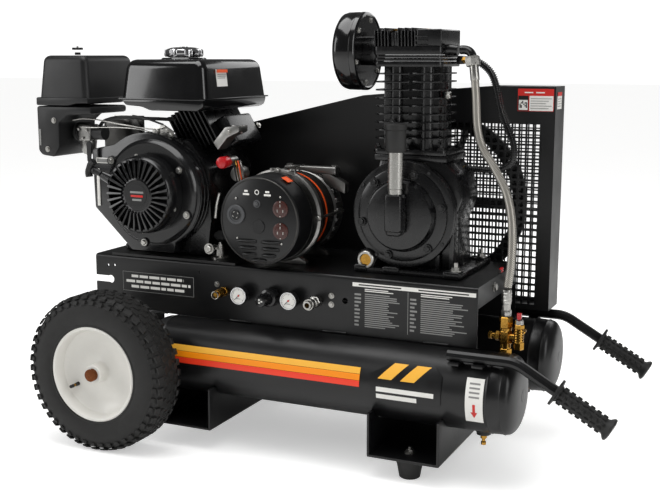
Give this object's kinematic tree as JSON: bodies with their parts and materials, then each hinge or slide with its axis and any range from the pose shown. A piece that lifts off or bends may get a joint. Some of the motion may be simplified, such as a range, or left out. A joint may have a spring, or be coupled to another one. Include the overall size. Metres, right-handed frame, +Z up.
{
  "type": "wheelbarrow air compressor",
  "caption": "Engine-driven twin-tank air compressor with a belt-driven generator, two pneumatic wheels, lifting handles, belt guard and an air control panel.",
  "frame": {"origin": "middle of the machine's footprint, at ground level", "axes": "+X from the wheels to the handles, -Y the control panel side, +Z up"},
  "size_m": [1.3132, 0.696, 0.8972],
  "materials": {
    "black_enamel": "semi-gloss black enamel over steel",
    "black_cast": "black paint over iron castings",
    "engine_casting": "black-painted aluminium die casting",
    "moulded_black": "black moulded cover",
    "rubber": "black rubber",
    "tyre": "black tyre rubber",
    "rim_white": "off-white powder coat",
    "steel": "plain steel",
    "chrome": "polished chrome",
    "cast_aluminium": "bare cast aluminium",
    "brass": "turned brass",
    "red_plastic": "red moulded lever"
  },
  "bodies": {
    "frame": {"front_tank": "black_enamel", "rear_tank": "black_enamel", "crossover_pipe": "black_enamel", "deck": "black_enamel", "wheel_leg": "black_enamel", "foot_leg": "black_enamel", "front_rubber_foot": "rubber", "rear_rubber_foot": "rubber", "axle": "steel", "front_handle": "black_enamel", "rear_handle": "black_enamel", "front_grip": "rubber", "rear_grip": "rubber", "slide_plate": "black_enamel", "engine_block": "engine_casting", "fan_housing": "moulded_black", "recoil_starter": "moulded_black", "fuel_tank": "black_enamel", "air_cleaner_cover": "moulded_black", "air_cleaner_base": "moulded_black", "muffler": "steel", "starter_motor": "cast_aluminium", "generator_drum": "moulded_black", "generator_body": "cast_aluminium", "pump_crankcase": "black_cast", "pump_cylinder": "black_cast", "pump_head": "black_cast", "intake_filter": "moulded_black", "breather_tube": "steel", "intercooler": "black_cast", "discharge_hose": "steel", "check_valve": "brass", "belt_guard": "black_enamel", "guard_back": "black_enamel", "pump_belt": "rubber", "generator_belt": "rubber", "regulator": "brass", "tank_gauge": "moulded_black", "outlet_gauge": "moulded_black", "safety_valve": "brass", "quick_coupler": "steel"},
    "front_wheel": {"front_wheel_rim": "rim_white", "front_tyre": "tyre"},
    "rear_wheel": {"rear_wheel_rim": "rim_white", "rear_tyre": "tyre"},
    "front_drain": {"front_drain_cock": "brass"},
    "rear_drain": {"rear_drain_cock": "brass"},
    "recoil_handle": {"pull_handle": "moulded_black"},
    "filler_cap": {"fuel_cap": "chrome"},
    "cleaner_knob": {"air_cleaner_knob": "moulded_black"},
    "choke": {"choke_lever": "moulded_black"},
    "dipstick": {"oil_dipstick": "moulded_black"},
    "engine_drive": {"engine_pulley": "black_cast"},
    "generator_drive": {"generator_pulley": "cast_aluminium"},
    "pump_drive": {"pump_flywheel": "black_cast"},
    "breaker": {"breaker_button": "moulded_black"},
    "unloader": {"pilot_toggle": "red_plastic"},
    "pressure_knob": {"regulator_knob": "moulded_black"},
    "relief_ring": {"safety_ring": "steel"},
    "coupler_lock": {"coupler_sleeve": "steel"}
  },
  "joints": [
    {"name": "front_wheel_spin", "type": "hinge", "parent": "frame", "child": "front_wheel", "pos_m": [-0.37556, -0.2977, 0.166], "axis": [0, 1, 0], "continuous": true},
    {"name": "rear_wheel_spin", "type": "hinge", "parent": "frame", "child": "rear_wheel", "pos_m": [-0.37556, 0.2977, 0.166], "axis": [0, 1, 0], "continuous": true},
    {"name": "pump_spin", "type": "hinge", "parent": "frame", "child": "pump_drive", "pos_m": [0.19844, 0.172, 0.4972], "axis": [0, 1, 0], "continuous": true},
    {"name": "engine_spin", "type": "hinge", "parent": "frame", "child": "engine_drive", "pos_m": [-0.35156, 0.172, 0.5202], "axis": [0, 1, 0], "continuous": true},
    {"name": "generator_spin", "type": "hinge", "parent": "frame", "child": "generator_drive", "pos_m": [-0.08156, 0.198, 0.4782], "axis": [0, 1, 0], "continuous": true},
    {"name": "starter_pull", "type": "slide", "parent": "frame", "child": "recoil_handle", "axis": [-0.9272, 0, 0.3746], "range_m": [0, 0.6], "stiffness_N_per_m": 12, "springref_m": -0.1},
    {"name": "fuel_cap_turn", "type": "hinge", "parent": "frame", "child": "filler_cap", "pos_m": [-0.35156, 0, 0.8012], "axis": [0, 0, 1], "range_deg": [0, 100]},
    {"name": "cleaner_knob_turn", "type": "hinge", "parent": "frame", "child": "cleaner_knob", "pos_m": [-0.59456, -0.06, 0.8102], "axis": [0, 0, 1], "range_deg": [0, 1080]},
    {"name": "choke_swing", "type": "hinge", "parent": "frame", "child": "choke", "pos_m": [-0.50156, -0.15, 0.6187], "axis": [0, 1, 0], "range_deg": [0, 50]},
    {"name": "dipstick_turn", "type": "hinge", "parent": "frame", "child": "dipstick", "pos_m": [-0.23106, -0.08, 0.4262], "axis": [1, 0, 0], "range_deg": [0, 720]},
    {"name": "breaker_press", "type": "slide", "parent": "frame", "child": "breaker", "axis": [0, 1, 0], "range_m": [0, 0.003], "stiffness_N_per_m": 300, "springref_m": -0.002},
    {"name": "unloader_flip", "type": "hinge", "parent": "frame", "child": "unloader", "pos_m": [0.44794, -0.1, 0.31671], "axis": [0, 1, 0], "range_deg": [0, 90]},
    {"name": "pressure_knob_turn", "type": "hinge", "parent": "frame", "child": "pressure_knob", "pos_m": [-0.06156, -0.139, 0.3197], "axis": [0, -1, 0], "range_deg": [-720, 720]},
    {"name": "relief_pull", "type": "slide", "parent": "frame", "child": "relief_ring", "axis": [0, -1, 0], "range_m": [0, 0.004], "stiffness_N_per_m": 500, "springref_m": -0.004},
    {"name": "coupler_release", "type": "slide", "parent": "frame", "child": "coupler_lock", "axis": [0, 1, 0], "range_m": [0, 0.006], "stiffness_N_per_m": 400, "springref_m": -0.004},
    {"name": "front_drain_turn", "type": "hinge", "parent": "frame", "child": "front_drain", "pos_m": [0.39794, -0.1488, 0.1017], "axis": [0, 0, -1], "range_deg": [0, 540]},
    {"name": "rear_drain_turn", "type": "hinge", "parent": "frame", "child": "rear_drain", "pos_m": [0.39794, 0.1488, 0.1017], "axis": [0, 0, -1], "range_deg": [0, 540]}
  ],
  "couplings": [
    {"joint": "engine_spin", "follows": "pump_spin", "ratio": 3.56},
    {"joint": "generator_spin", "follows": "pump_spin", "ratio": 4.9444}
  ]
}
